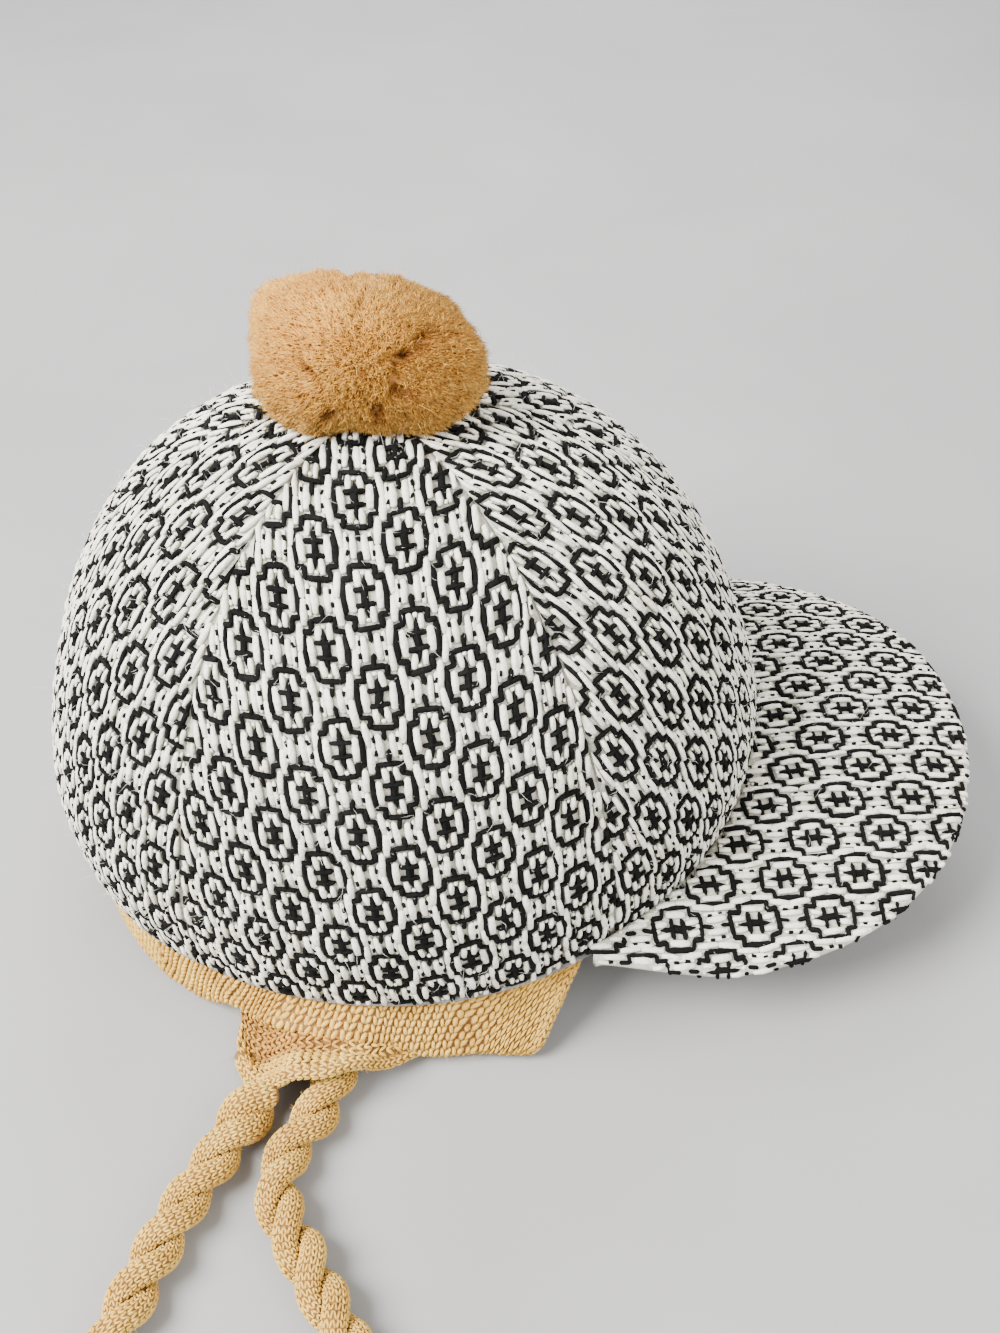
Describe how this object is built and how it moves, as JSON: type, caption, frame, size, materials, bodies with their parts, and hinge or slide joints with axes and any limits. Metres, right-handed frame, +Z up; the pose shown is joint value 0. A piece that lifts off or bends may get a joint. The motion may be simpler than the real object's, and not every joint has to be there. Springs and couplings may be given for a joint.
{
  "type": "knitted peaked cap with ear flaps, pompom and tie cords (chullo)",
  "caption": "Panelled wool cap in a black and ivory rosette pattern, with a rounded peak, tan knit ear-flap band, camel pompom and tan twisted tie cords.",
  "frame": {"origin": "on the table under the middle of the cap's bounding box, cords and knots left out", "axes": "+X towards the peak, +Y to the wearer's left, +Z up"},
  "size_m": [0.2639, 0.2877, 0.186],
  "materials": {
    "patterned_cloth": "matte",
    "tan_knit": "matte",
    "camel_yarn": "matte"
  },
  "bodies": {
    "root": {"panel_front_right": "patterned_cloth", "panel_side_right": "patterned_cloth", "panel_back_right": "patterned_cloth", "panel_back_left": "patterned_cloth", "panel_side_left": "patterned_cloth", "panel_front_left": "patterned_cloth", "peak": "patterned_cloth", "pompom": "camel_yarn", "ear_flap_right": "tan_knit", "ear_flap_left": "tan_knit", "neck_band": "tan_knit", "tie_cord_right": "tan_knit", "tie_cord_left": "tan_knit", "tie_knot_right": "tan_knit", "tie_knot_left": "tan_knit"}
  },
  "joints": []
}
